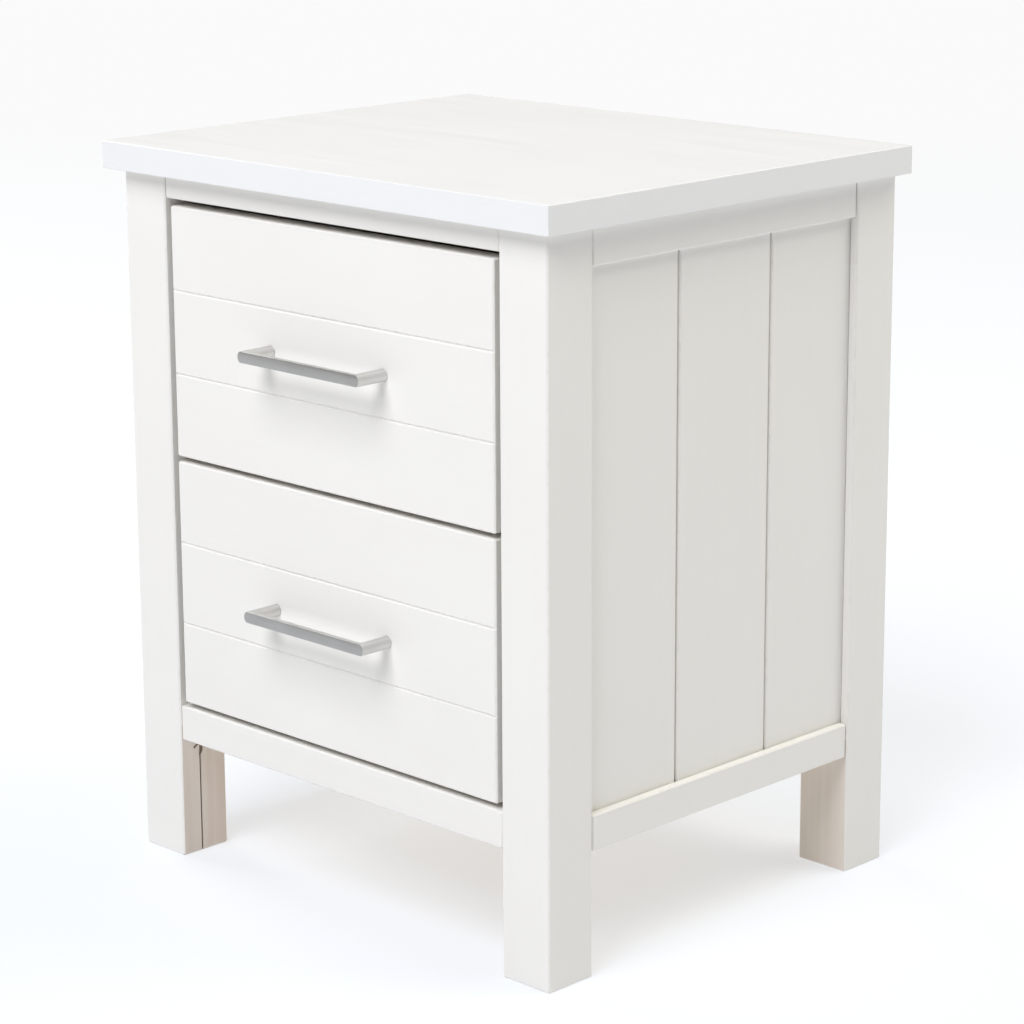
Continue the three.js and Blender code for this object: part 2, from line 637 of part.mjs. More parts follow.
function drawerGroup(drawer, low) {
  const group = new THREE.Group();
  group.position.z = low;
  group.add(
    drawerFront(`${drawer}_drawer_front`),
    boxInnerFront(`${drawer}_drawer_inner_front`),
    boxSide(`${drawer}_drawer_left_side`, -1),
    boxSide(`${drawer}_drawer_right_side`, 1),
    boxBack(`${drawer}_drawer_back`),
    boxBottom(`${drawer}_drawer_bottom`),
    handle(`${drawer}_handle`),
    handleScrew(`${drawer}_handle_left_screw`, HANDLE_POSTS[0]),
    handleScrew(`${drawer}_handle_right_screw`, HANDLE_POSTS[1]),
  );
  for (const [side, sign] of Object.entries(SIDES)) group.add(...slide(drawer, side, sign));
  return group;
}

const nightstand = new THREE.Group();
nightstand.name = "nightstand";
nightstand.add(
  caseGroup(),
  drawerGroup("upper", UPPER_DRAWER_LOW),
  drawerGroup("lower", LOWER_DRAWER_LOW),
);

export default nightstand;
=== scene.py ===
# The looks of a two-drawer nightstand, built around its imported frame. Metres, +Z up. The drawers
# open towards -Y, and the origin is on the floor under the middle of the whole object.

import json
import math

import bmesh
import bpy
from mathutils import Euler, Matrix, Vector

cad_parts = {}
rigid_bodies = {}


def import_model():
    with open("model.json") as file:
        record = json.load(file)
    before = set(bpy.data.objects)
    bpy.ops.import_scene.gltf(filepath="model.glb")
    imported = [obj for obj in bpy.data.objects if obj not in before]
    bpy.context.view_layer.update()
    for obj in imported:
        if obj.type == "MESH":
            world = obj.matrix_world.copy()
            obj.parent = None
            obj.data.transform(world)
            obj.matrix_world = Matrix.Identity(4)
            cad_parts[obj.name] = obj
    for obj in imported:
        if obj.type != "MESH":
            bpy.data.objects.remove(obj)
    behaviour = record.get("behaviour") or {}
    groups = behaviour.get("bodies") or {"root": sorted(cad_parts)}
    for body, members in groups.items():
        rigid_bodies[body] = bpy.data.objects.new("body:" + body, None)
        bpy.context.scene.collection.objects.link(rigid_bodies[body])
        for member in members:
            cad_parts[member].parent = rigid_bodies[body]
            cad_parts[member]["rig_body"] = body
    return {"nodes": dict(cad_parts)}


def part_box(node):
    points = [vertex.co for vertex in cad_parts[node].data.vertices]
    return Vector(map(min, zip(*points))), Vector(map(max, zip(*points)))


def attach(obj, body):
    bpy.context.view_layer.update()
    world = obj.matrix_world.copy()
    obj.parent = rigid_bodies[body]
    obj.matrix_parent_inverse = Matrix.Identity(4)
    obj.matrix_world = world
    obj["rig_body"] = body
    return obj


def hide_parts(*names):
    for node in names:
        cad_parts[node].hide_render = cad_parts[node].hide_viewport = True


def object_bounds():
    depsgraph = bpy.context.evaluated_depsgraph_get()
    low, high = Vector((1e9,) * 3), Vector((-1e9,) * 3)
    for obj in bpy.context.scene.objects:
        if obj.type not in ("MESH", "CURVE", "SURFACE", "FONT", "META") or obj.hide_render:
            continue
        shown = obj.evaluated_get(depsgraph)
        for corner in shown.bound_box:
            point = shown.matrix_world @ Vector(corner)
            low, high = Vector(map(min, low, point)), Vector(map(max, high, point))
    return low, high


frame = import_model()
cad_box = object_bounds()

MM = 0.001
AXES = "XYZ"
SIDES = {"left": -1, "right": 1}
DRAWERS = ("upper", "lower")

# ---- Driving values ----

CAMERA_AZIMUTH = math.radians(44.55)
CAMERA_PITCH = math.radians(13.63)
CAMERA_ROLL = math.radians(-0.3)
CAMERA_DISTANCE = 2.5992
CAMERA_AIM = (0.0118, 0.0346)
CAMERA_LENS = 111.5
CAMERA_SHIFT = -0.045

FLOOR_SIZE = 60
FLOOR_COLOUR = (0.373, 0.395, 0.435)
FLOOR_GLOW = 0.54
FLOOR_GLOW_FAR = 0.96
FLOOR_NEAR = 1.2
FLOOR_FAR = 5.0
SKY_STRENGTH = 0.045

# Each softbox: azimuth (0 is in front of the drawers, 90 to the right), elevation, power, colour.
SOFTBOX_SIZE = 4.0
SOFTBOX_DISTANCE = 7.0
SOFTBOXES = {
    "key": (10, 50, 438, (0.94, 0.952, 1.0)),
    "left": (-90, 22, 340, (1.0, 0.99, 0.97)),
    "back_right": (135, 50, 255, (1.0, 0.966, 0.868)),
    "back": (180, 45, 78, (1.0, 0.98, 0.95)),
}

TOP_ARRIS = 0.35 * MM
PAINTED_ARRIS = 0.45 * MM
RAW_ARRIS = 0.2 * MM
ARRIS_ANGLE = math.radians(25)
WELD_DISTANCE = 0.01 * MM
FLAT_ANGLE = math.radians(1)

# Where the legs' painted shade and cuts end, behind the bottom rails, how much painted shade lies on
# faces that look forwards, how far cuts into a front leg's inner face may go, and how fast both
# fade.
SHADE_AND_CUT_TOP = 115 * MM
PAINTED_SHADE_FORWARDS = 0.65
CUT_DEPTH = 4 * MM
SHADE_AND_CUT_FADE = 0.5 * MM

HANDLE_RADIUS = 5 * MM
HANDLE_SIDES = 72
HANDLE_RIM = 0.35 * MM
HANDLE_RIM_ANGLE = math.radians(18)
HANDLE_FLAT = 2.2 * MM

SHEET = 1.2 * MM
BEND_RADIUS = 1.6 * MM
LIP_DROP = 0.9 * MM
BALL_RADIUS = 1.05 * MM
BALL_PITCH = 8 * MM
BALL_DEPTH = 0.62
CAGE_BALLS = 11
CAGE_SHEET = 0.45 * MM
CAGE_DEPTH = 6.4 * MM
CAGE_START = 8 * MM
CAGE_CLEARANCE = 0.28 * MM
SLIDE_HOLES = (0.08, 0.3, 0.55, 0.86)
SLIDE_SCREWS = (0.08, 0.3, 0.86)
HOLE_RADIUS = 2.1 * MM
HOLE_SIDES = 24
SLOT_LENGTH = 7 * MM
SLOT_WIDTH = 4 * MM
SLOT_PAST_HOLE = 14 * MM
CUTTER_LENGTH = 6 * MM

# The shank's radius, the length, the head's radius and the head's height.
FRONT_SCREW = (1.8 * MM, 22 * MM, 3.8 * MM, 2.2 * MM)
TOP_SCREW = (1.8 * MM, 32 * MM, 3.8 * MM, 2.2 * MM)
SLIDE_SCREW = (1.7 * MM, 9 * MM, 3.3 * MM, 1.8 * MM)
FRONT_SCREW_INSET = 25 * MM
TOP_SCREW_PLACES = (0.12, 0.5, 0.88)
SLIDE_SCREW_PROUD = 0.2 * MM
HANDLE_SHANK = 2 * MM
HANDLE_SEAT_GAP = 0.3 * MM

SCREW_SIDES = 40
# A cross recess, as shares of its head's radius, and its floor as shares of its mouth.
RECESS_ARM = 0.55
RECESS_WIDTH = 0.13
RECESS_DEPTH = 0.45
RECESS_FLOOR_ARM = 0.5
RECESS_FLOOR_WIDTH = 0.6
RECESS_TURN = math.radians(38)


def middle(box):
    return (box[0] + box[1]) / 2


# ---- Camera, light and floor ----


def make_camera():
    """A long lens, to the right of the drawers and a little above the top."""
    turn = Euler((0, 0, CAMERA_AZIMUTH)).to_matrix()
    tilt = Euler((math.pi / 2 - CAMERA_PITCH, 0, 0)).to_matrix()
    roll = Euler((0, 0, CAMERA_ROLL)).to_matrix()
    offset = turn @ tilt @ Vector((*CAMERA_AIM, CAMERA_DISTANCE))
    data = bpy.data.cameras.new("camera")
    data.lens = CAMERA_LENS
    data.shift_y = CAMERA_SHIFT
    camera = bpy.data.objects.new("camera", data)
    place = Matrix.Translation(middle(cad_box) + offset)
    camera.matrix_world = place @ (turn @ tilt @ roll).to_4x4()
    bpy.context.scene.collection.objects.link(camera)
    bpy.context.scene.camera = camera


def make_softbox(name, azimuth, elevation, power, colour):
    """A square softbox that faces the object."""
    a = math.radians(azimuth)
    e = math.radians(elevation)
    away = Vector((math.sin(a) * math.cos(e), -math.cos(a) * math.cos(e), math.sin(e)))
    data = bpy.data.lights.new(name, "AREA")
    data.size = SOFTBOX_SIZE
    data.energy = power
    data.color = colour
    light = bpy.data.objects.new(name, data)
    light.location = middle(cad_box) + away * SOFTBOX_DISTANCE
    light.rotation_euler = away.to_track_quat("Z", "Y").to_euler()
    bpy.context.scene.collection.objects.link(light)


def make_world():
    """White to look at, and dim as a source of light."""
    world = bpy.data.worlds.new("studio")
    world.use_nodes = True
    bpy.context.scene.world = world
    tree = Tree(world.node_tree)
    rays = tree.node("ShaderNodeLightPath").outputs["Is Camera Ray"]
    strength = tree.map_range(rays, (0, 1), (SKY_STRENGTH, FLOOR_GLOW_FAR))
    sky = tree.node("ShaderNodeBackground", Color=(1, 1, 1, 1), Strength=strength)
    tree.node("ShaderNodeOutputWorld", Surface=sky.outputs[0])


def make_floor():
    """A plain pale floor. It glows a little, so that shadows stay light, and more far away."""
    material, tree = new_material("floor")
    place = tree.node("ShaderNodeTexCoord").outputs["Object"]
    clouds = tree.map_range(tree.noise(place, 2), (0.3, 0.7), (0.985, 1.0))
    distance = tree.vector("LENGTH", place)
    fade = tree.map_range(distance, (FLOOR_NEAR, FLOOR_FAR), (0, 1))
    white = tree.mix(fade, FLOOR_COLOUR, (0, 0, 0))
    colour = tree.vector("SCALE", white, scale=clouds)
    glow = tree.map_range(distance, (FLOOR_NEAR, FLOOR_FAR), (FLOOR_GLOW, FLOOR_GLOW_FAR))
    close(tree, Base_Color=colour, Roughness=0.9, Specular_IOR_Level=0.0,
          Emission_Color=(1, 1, 1, 1), Emission_Strength=glow)
    mesh = bmesh.new()
    bmesh.ops.create_grid(mesh, x_segments=4, y_segments=4, size=FLOOR_SIZE / 2)
    floor = new_object("floor", mesh, material)


# ---- Node trees ----


class Tree:
    """Short ways to add nodes to a tree and to join them."""

    def __init__(self, node_tree):
        self.nodes = node_tree.nodes
        self.links = node_tree.links
        self.nodes.clear()

    def feed(self, target, value):
        """Links an output to an input, or sets the input to a number, vector or colour."""
        if isinstance(value, bpy.types.NodeSocket):
            self.links.new(value, target)
        elif target.type == "RGBA" and len(value) == 3:
            target.default_value = (*value, 1)
        else:
            target.default_value = value

    def node(self, kind, settings=None, **inputs):
        made = self.nodes.new(kind)
        for name, value in (settings or {}).items():
            setattr(made, name, value)
        for name, value in inputs.items():
            self.feed(made.inputs[name.replace("_", " ")], value)
        return made

    def math(self, operation, first, second=0.0):
        made = self.node("ShaderNodeMath", {"operation": operation})
        self.feed(made.inputs[0], first)
        self.feed(made.inputs[1], second)
        return made.outputs[0]

    def vector(self, operation, first, second=None, scale=None):
        made = self.node("ShaderNodeVectorMath", {"operation": operation})
        self.feed(made.inputs[0], first)
        if second is not None:
            self.feed(made.inputs[1], second)
        if scale is not None:
            self.feed(made.inputs["Scale"], scale)
        return made.outputs["Value" if operation in ("LENGTH", "DOT_PRODUCT") else "Vector"]

    def map_range(self, value, given, wanted):
        """A value eased from one range to another, and held at the ends."""
        made = self.node(
            "ShaderNodeMapRange", {"interpolation_type": "SMOOTHSTEP"},
            Value=value, From_Min=given[0], From_Max=given[1], To_Min=wanted[0], To_Max=wanted[1],
        )
        return made.outputs[0]

    def mix(self, factor, first, second):
        made = self.node("ShaderNodeMix", {"data_type": "RGBA"})
        for i, value in ((0, factor), (6, first), (7, second)):
            self.feed(made.inputs[i], value)
        return made.outputs[2]

    def blend(self, first, second, share):
        """The sum of two values, the second with the given share."""
        part = self.math("MULTIPLY", second, share)
        return self.math("ADD", self.math("MULTIPLY", first, 1 - share), part)

    def place(self, spread):
        """Object coordinates, moved by up to spread, differently on each piece."""
        coordinates = self.node("ShaderNodeTexCoord").outputs["Object"]
        chance = self.node("ShaderNodeObjectInfo").outputs["Random"]
        direction = self.node("ShaderNodeCombineXYZ", X=chance, Y=chance, Z=chance).outputs[0]
        return self.vector("ADD", coordinates, self.vector("SCALE", direction, scale=spread))

    def noise(self, vector, per_metre, detail=3.0, roughness=0.5):
        """Noise with a number of features per metre, or one number for each axis."""
        if not isinstance(per_metre, (int, float)):
            vector = self.vector("MULTIPLY", vector, tuple(per_metre))
            per_metre = 1.0
        made = self.node("ShaderNodeTexNoise", Vector=vector, Scale=float(per_metre),
                         Detail=detail, Roughness=roughness)
        return made.outputs["Fac"]

    def facing(self, axis):
        """1 where a surface faces along an axis, either way, and 0 where it lies along it."""
        normal = self.node("ShaderNodeTexCoord").outputs["Normal"]
        part = self.node("ShaderNodeSeparateXYZ", Vector=normal).outputs[axis]
        return self.math("ABSOLUTE", part)

    def arris(self):
        """1 where a surface slants between the axes, as an eased edge does, and 0 on flat faces."""
        most = self.math("MAXIMUM", self.facing("X"), self.facing("Y"))
        most = self.math("MAXIMUM", most, self.facing("Z"))
        return self.map_range(most, (0.99, 0.85), (0, 1))

    def bump(self, height, distance, under=None):
        made = self.node("ShaderNodeBump", Height=height, Distance=distance)
        if under:
            self.feed(made.inputs["Normal"], under)
        return made.outputs[0]


def new_material(name):
    material = bpy.data.materials.new(name)
    material.use_nodes = True
    return material, Tree(material.node_tree)


def close(tree, **inputs):
    """The surface shader and the output."""
    shader = tree.node("ShaderNodeBsdfPrincipled", **inputs)
    tree.node("ShaderNodeOutputMaterial", Surface=shader.outputs[0])


def along(axis, slow, fast):
    """Features per metre for each axis: few along the named axis and many across it."""
    return [slow if name == axis else fast for name in AXES]


# ---- Materials ----


def band(tree, value, low, high):
    """1 where a value lies between two limits. It fades to 0 just outside them."""
    above = tree.map_range(value, (low - SHADE_AND_CUT_FADE, low), (0, 1))
    below = tree.map_range(value, (high + SHADE_AND_CUT_FADE, high), (0, 1))
    return tree.math("MULTIPLY", above, below)


def painted_shade_and_cuts(tree, streaks):
    """Where the legs get painted shade, and where their paint is broken. Both lie below the bottom
    rails.

    The painted shade darkens the inner faces in streaks, where the body shades them, and the paint
    is broken in what is cut into a front leg's face.
    """
    coordinates = tree.node("ShaderNodeTexCoord").outputs["Object"]
    parts = tree.node("ShaderNodeSeparateXYZ", Vector=coordinates).outputs
    aside = tree.math("ABSOLUTE", parts["X"])
    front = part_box("front_right_leg")
    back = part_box("back_right_leg")
    low = tree.map_range(parts["Z"], (SHADE_AND_CUT_TOP, SHADE_AND_CUT_TOP - MM), (0, 1))
    inner_x = tree.map_range(aside, (front[0].x + SHADE_AND_CUT_FADE, front[0].x), (0, 1))
    between = band(tree, parts["Y"], front[1].y, back[0].y)
    inner_y = tree.math("MULTIPLY", between, PAINTED_SHADE_FORWARDS)
    # Painted shade: darker paint on the legs' inner faces below the rails, where the body shades
    # them.
    painted_shade = tree.math("MULTIPLY", tree.math("MAXIMUM", inner_x, inner_y), low)
    painted_shade = tree.math("MULTIPLY", painted_shade, tree.map_range(streaks, (0.3, 0.7), (0.55, 1)))
    cut = band(tree, aside, front[0].x + MM, front[0].x + CUT_DEPTH)
    cut = tree.math("MULTIPLY", cut, band(tree, parts["Y"], front[0].y + MM, front[1].y - MM))
    return painted_shade, tree.math("MULTIPLY", cut, low)


def paint(name, colour, shade, worn, grain, roughness, painted_shade=None, bare=None):
    """Sprayed satin paint on timber: the grain shows faintly, and arrises are worn down in places.

    Grooves along X face up or down as much as forwards, so wear keeps to what faces aside. Where
    painted_shade and bare are given, they are the colours of painted shade on the legs' inner faces
    and of the wood under the paint, seen in cuts.
    """
    material, tree = new_material(name)
    place = tree.place(7)
    clouds = tree.noise(place, 7, detail=2)
    streaks = tree.noise(place, along(grain, 5, 160), detail=4, roughness=0.6)
    stipple = tree.noise(place, 900, detail=2)
    tone = tree.blend(clouds, streaks, 0.4)
    base = tree.mix(tree.map_range(tone, (0.35, 0.65), (0, 1)), colour, shade)
    patches = tree.map_range(tree.noise(place, 90, detail=4), (0.45, 0.7), (0, 0.4))
    wear = tree.math("MULTIPLY", tree.arris(), patches)
    wear = tree.math("MULTIPLY", wear, tree.map_range(tree.facing("X"), (0.1, 0.4), (0, 1)))
    base = tree.mix(wear, base, worn)
    # Painted shade on the legs' inner faces, and bare wood where a face is cut.
    if painted_shade:
        shaded, broken = painted_shade_and_cuts(tree, tone)
        base = tree.mix(shaded, base, painted_shade)
        base = tree.mix(broken, base, bare)
    gloss = tree.blend(streaks, stipple, 0.4)
    rough = tree.map_range(gloss, (0.3, 0.7), (roughness - 0.05, roughness + 0.06))
    normal = tree.bump(streaks, 0.03 * MM)
    normal = tree.bump(stipple, 0.01 * MM, normal)
    close(tree, Base_Color=base, Roughness=rough, Normal=normal, Specular_IOR_Level=0.35)
    return material


def fibres(tree, grain, place, rings):
    """Growth rings as contours of a slow noise, 0 to 1 across each ring, and the fine fibres."""
    field = tree.noise(place, along(grain, 0.9, 8), detail=1.5, roughness=0.4)
    ring = tree.math("FRACT", tree.math("MULTIPLY", field, rings))
    fine = tree.noise(place, along(grain, 14, 900), detail=4, roughness=0.6)
    return ring, fine


def timber(name, light, dark, grain, roughness):
    """Clear lacquered softwood, with darker late wood in each ring and darker end grain."""
    material, tree = new_material(name)
    place = tree.place(3)
    ring, fine = fibres(tree, grain, place, 34)
    late = tree.map_range(ring, (0.35, 0.95), (0, 1))
    late = tree.math("MULTIPLY", late, tree.map_range(ring, (1.0, 0.96), (0, 1)))
    tone = tree.blend(late, fine, 0.35)
    base = tree.mix(tree.map_range(tone, (0.1, 0.9), (0, 1)), light, dark)
    clouds = tree.map_range(tree.noise(place, 12), (0.3, 0.7), (0.93, 1.03))
    base = tree.vector("SCALE", base, scale=clouds)
    end_grain = tree.map_range(tree.facing(grain), (0.6, 0.8), (1, 0.72))
    base = tree.vector("SCALE", base, scale=end_grain)
    rough = tree.map_range(fine, (0.3, 0.7), (roughness - 0.06, roughness + 0.08))
    normal = tree.bump(late, 0.02 * MM)
    normal = tree.bump(fine, 0.02 * MM, normal)
    close(tree, Base_Color=base, Roughness=rough, Normal=normal, Coat_Weight=0.15,
          Coat_Roughness=0.3)
    return material


def plywood(name, light, dark, grain, through, plies_per_metre):
    """Sanded plywood: a veneer on its two faces, and its plies along its edges."""
    material, tree = new_material(name)
    place = tree.place(3)
    ring, fine = fibres(tree, grain, place, 16)
    tone = tree.blend(tree.map_range(ring, (0.2, 1.0), (0, 1)), fine, 0.5)
    face = tree.mix(tree.map_range(tone, (0.1, 0.9), (0, 1)), light, dark)
    coordinates = tree.node("ShaderNodeTexCoord").outputs["Object"]
    depth = tree.node("ShaderNodeSeparateXYZ", Vector=coordinates).outputs[through]
    ply = tree.math("FRACT", tree.math("MULTIPLY", depth, plies_per_metre))
    layer = tree.map_range(ply, (0.46, 0.54), (0, 1))
    core = tree.mix(tree.blend(layer, fine, 0.25), light, [0.62 * part for part in dark])
    base = tree.mix(tree.map_range(tree.facing(through), (0.3, 0.6), (0, 1)), core, face)
    rough = tree.map_range(fine, (0.3, 0.7), (0.55, 0.7))
    normal = tree.bump(fine, 0.03 * MM)
    close(tree, Base_Color=base, Roughness=rough, Normal=normal)
    return material


def metal(name, colour, shade, grain, roughness, lines_per_metre, flat_reflection_shade=1.0):
    """Metal brushed or rolled along an axis. A flat front, facing along Y, has a painted dim
    reflection.
    """
    material, tree = new_material(name)
    place = tree.place(5)
    lines = tree.noise(place, along(grain, 25, lines_per_metre), detail=3, roughness=0.7)
    clouds = tree.noise(place, 40, detail=3)
    tone = tree.map_range(tree.blend(lines, clouds, 0.5), (0.35, 0.65), (0, 1))
    base = tree.mix(tone, colour, shade)
    # Painted reflection: faces along Y are darkened, as if they mirrored something dim.
    flat_shade = tree.map_range(tree.facing("Y"), (0.93, 0.99), (1, flat_reflection_shade))
    base = tree.vector("SCALE", base, scale=flat_shade)
    rough = tree.map_range(lines, (0.3, 0.7), (roughness - 0.06, roughness + 0.08))
    normal = tree.bump(lines, 0.006 * MM)
    close(tree, Base_Color=base, Metallic=1.0, Roughness=rough, Normal=normal)
    return material


BODY_PAINT = {
    "colour": (0.853, 0.834, 0.792),
    "shade": (0.845, 0.824, 0.78),
    "worn": (0.75, 0.71, 0.64),
    "roughness": 0.42,
}
PAINTS = {axis: paint(f"body_paint_along_{axis.lower()}", **BODY_PAINT, grain=axis) for axis in AXES}
# The legs' paint, with painted shade on their inner faces below the bottom rails.
LEG_PAINT = paint(
    "leg_paint", **BODY_PAINT, grain="Z", painted_shade=(0.64, 0.54, 0.46), bare=(0.40, 0.32, 0.25)
)
TOP_PAINT = paint(
    "top_paint",
    colour=(0.83, 0.828, 0.822),
    shade=(0.82, 0.818, 0.812),
    worn=(0.74, 0.70, 0.64),
    grain="X",
    roughness=0.38,
)
PINES = {
    axis: timber(
        f"box_pine_along_{axis.lower()}",
        light=(0.78, 0.62, 0.41),
        dark=(0.60, 0.41, 0.22),
        grain=axis,
        roughness=0.42,
    )
    for axis in AXES
}
PLY_COLOURS = {"light": (0.74, 0.62, 0.45), "dark": (0.60, 0.46, 0.29)}
PLY_PANEL = plywood("ply_panel", **PLY_COLOURS, grain="X", through="Z", plies_per_metre=420)
PLY_STRIP = plywood("ply_strip", **PLY_COLOURS, grain="Y", through="X", plies_per_metre=300)
SLIDE_STEEL = metal("slide_steel", (0.66, 0.68, 0.71), (0.54, 0.56, 0.58), "Y", 0.32, 500)
BALL_STEEL = metal("ball_steel", (0.78, 0.78, 0.79), (0.66, 0.66, 0.67), "Z", 0.12, 900)
# The handle's flat front is darkened: a painted dim reflection.
HANDLE_METAL = metal(
    "handle_metal", (0.71, 0.70, 0.68), (0.64, 0.63, 0.61), "X", 0.36, 2500, flat_reflection_shade=0.62
)
SCREW_STEEL = metal("screw_steel", (0.62, 0.63, 0.64), (0.48, 0.49, 0.50), "Z", 0.3, 1500)


# ---- Timber: CAD nodes that stay ----


def dress(node, material, arris):
    """Gives a timber node its material, and rounds its arrises by modifiers."""
    piece = frame["nodes"][node]
    piece.material_slots[0].material = material
    weld = piece.modifiers.new("weld", "WELD")
    weld.merge_threshold = WELD_DISTANCE
    flat = piece.modifiers.new("flat", "DECIMATE")
    flat.decimate_type = "DISSOLVE"
    flat.angle_limit = FLAT_ANGLE
    bevel = piece.modifiers.new("arris", "BEVEL")
    bevel.width = arris
    bevel.segments = 3
    bevel.limit_method = "ANGLE"
    bevel.angle_limit = ARRIS_ANGLE
    bevel.miter_outer = "MITER_ARC"


def longest_axis(node):
    low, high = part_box(node)
    size = high - low
    return AXES[max(range(3), key=lambda i: size[i])]


def dress_timber():
    slots = {name: node.material_slots[0].material.name for name, node in frame["nodes"].items()}
    for name, slot in slots.items():
        if slot == "top_paint":
            dress(name, TOP_PAINT, TOP_ARRIS)
        elif slot == "body_paint":
            painted = LEG_PAINT if name.endswith("_leg") else PAINTS[longest_axis(name)]
            dress(name, painted, PAINTED_ARRIS)
        elif slot == "box_wood":
            dress(name, PINES[longest_axis(name)], RAW_ARRIS)
        elif slot == "plywood":
            panel = name.endswith(("panel", "bottom"))
            dress(name, PLY_PANEL if panel else PLY_STRIP, RAW_ARRIS)


# ---- Meshes ----


def new_object(name, mesh, material, smooth=None):
    """An object of a bmesh. Where smooth is an angle, edges flatter than that look round."""
    data = bpy.data.meshes.new(name)
    bmesh.ops.recalc_face_normals(mesh, faces=mesh.faces)
    for face in mesh.faces:
        face.smooth = smooth is not None
    for edge in mesh.edges:
        edge.smooth = smooth is None or edge.calc_face_angle(0) < smooth
    mesh.to_mesh(data)
    mesh.free()
    data.materials.append(material)
    made = bpy.data.objects.new(name, data)
    bpy.context.scene.collection.objects.link(made)
    return made


def stand_for(piece, node):
    """A piece that stands for a CAD node rides on the same body."""
    body = frame["nodes"][node]["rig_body"]
    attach(piece, body)
    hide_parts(node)


def bridge(mesh, first, second):
    """Quads between two loops of vertices."""
    count = len(first)
    for i in range(count):
        j = (i + 1) % count
        mesh.faces.new((first[i], first[j], second[j], second[i]))


def tube(mesh, loops):
    """A closed solid through loops of points, with flat ends."""
    rings = [[mesh.verts.new(point) for point in loop] for loop in loops]
    for first, second in zip(rings, rings[1:]):
        bridge(mesh, first, second)
    mesh.faces.new(rings[0])
    mesh.faces.new(reversed(rings[-1]))


def lathe(mesh, profile, turn, sides):
    """A solid turned from (radius, height) points, moved into place by a matrix."""
    loops = []
    for radius, height in profile:
        ring = []
        for i in range(sides):
            angle = 2 * math.pi * i / sides
            ring.append(turn @ Vector((radius * math.cos(angle), radius * math.sin(angle), height)))
        loops.append(ring)
    tube(mesh, loops)


# ---- Handles ----


def handle_loops(post, axis_y, base_y, height, flat):
    """Loops of points along the handle: up one post, along the bar and down the other post.

    The bar and the posts meet in mitres. Points in front of the flat's plane are drawn back to it.
    """
    loops = [[] for _ in range(4)]
    for i in range(HANDLE_SIDES):
        angle = 2 * math.pi * i / HANDLE_SIDES
        out = HANDLE_RADIUS * math.cos(angle)
        z = height + HANDLE_RADIUS * math.sin(angle)
        front = axis_y - min(out, flat)
        loops[0].append((-post - out, base_y, z))
        loops[1].append((-post - out, front, z))
        loops[2].append((post + out, front, z))
        loops[3].append((post + out, base_y, z))
    return loops


def make_handle(drawer):
    """A satin nickel bar handle: a round bar with a flat front, mitred to two round posts."""
    node = f"{drawer}_handle"
    low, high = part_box(node)
    post = high.x - HANDLE_RADIUS
    height = (low.z + high.z) / 2
    mesh = bmesh.new()
    tube(mesh, handle_loops(post, low.y + HANDLE_FLAT, high.y, height, HANDLE_FLAT))
    bmesh.ops.dissolve_limit(mesh, angle_limit=math.radians(0.5), verts=mesh.verts, edges=mesh.edges)
    rims = [edge for edge in mesh.edges if edge.calc_face_angle(0) > HANDLE_RIM_ANGLE]
    bmesh.ops.bevel(mesh, geom=rims, offset=HANDLE_RIM, segments=3, profile=0.5, affect="EDGES",
                    clamp_overlap=True)
    piece = new_object(f"{drawer}_pull", mesh, HANDLE_METAL, smooth=math.radians(35))
    stand_for(piece, node)


# ---- Screws ----


def carve(piece, mesh):
    """Cuts a bmesh out of a piece."""
    data = bpy.data.meshes.new("cutter")
    bmesh.ops.recalc_face_normals(mesh, faces=mesh.faces)
    mesh.to_mesh(data)
    mesh.free()
    cutter = bpy.data.objects.new("cutter", data)
    bpy.context.scene.collection.objects.link(cutter)
    cutting = piece.modifiers.new("cut", "BOOLEAN")
    cutting.operation = "DIFFERENCE"
    cutting.solver = "EXACT"
    cutting.object = cutter
    graph = bpy.context.evaluated_depsgraph_get()
    carved = bpy.data.meshes.new_from_object(piece.evaluated_get(graph))
    piece.modifiers.clear()
    piece.data = carved
    bpy.data.objects.remove(cutter)


def add_block(mesh, size, place):
    """A block of a size, moved into place by a matrix."""
    bmesh.ops.create_cube(mesh, size=1, matrix=place @ Matrix.Diagonal((*size, 1)))


def facing_matrix(point, direction):
    """A matrix that puts a piece's origin at a point, with its own +Z along a direction."""
    return Matrix.Translation(point) @ Vector(direction).to_track_quat("Z", "Y").to_matrix().to_4x4()


def pan_profile(shank, length, head, height):
    """A pan-head screw's outline from its tip up: the head's seat is at height 0."""
    return [
        (0.45 * shank, -length),
        (shank, -length + shank),
        (shank, 0),
        (0.94 * head, 0),
        (head, 0.12 * height),
        (head, 0.45 * height),
        (0.95 * head, 0.68 * height),
        (0.8 * head, 0.88 * height),
        (0.55 * head, height),
    ]


def flat_profile(shank, length, head, height):
    """A countersunk screw's outline from its tip up: the top of its head is at height 0."""
    return [
        (0.3 * shank, -length),
        (shank, -length + 2 * shank),
        (shank, -height),
        (0.97 * head, -0.12 * height),
        (head, 0),
    ]


def cross_loop(arm, half, height):
    """A cross-shaped outline."""
    quarter = [(arm, -half), (arm, half), (half, half)]
    points = []
    for turn in range(4):
        spin = Matrix.Rotation(turn * math.pi / 2, 2)
        points += [spin @ Vector(point) for point in quarter]
    return [(point.x, point.y, height) for point in points]


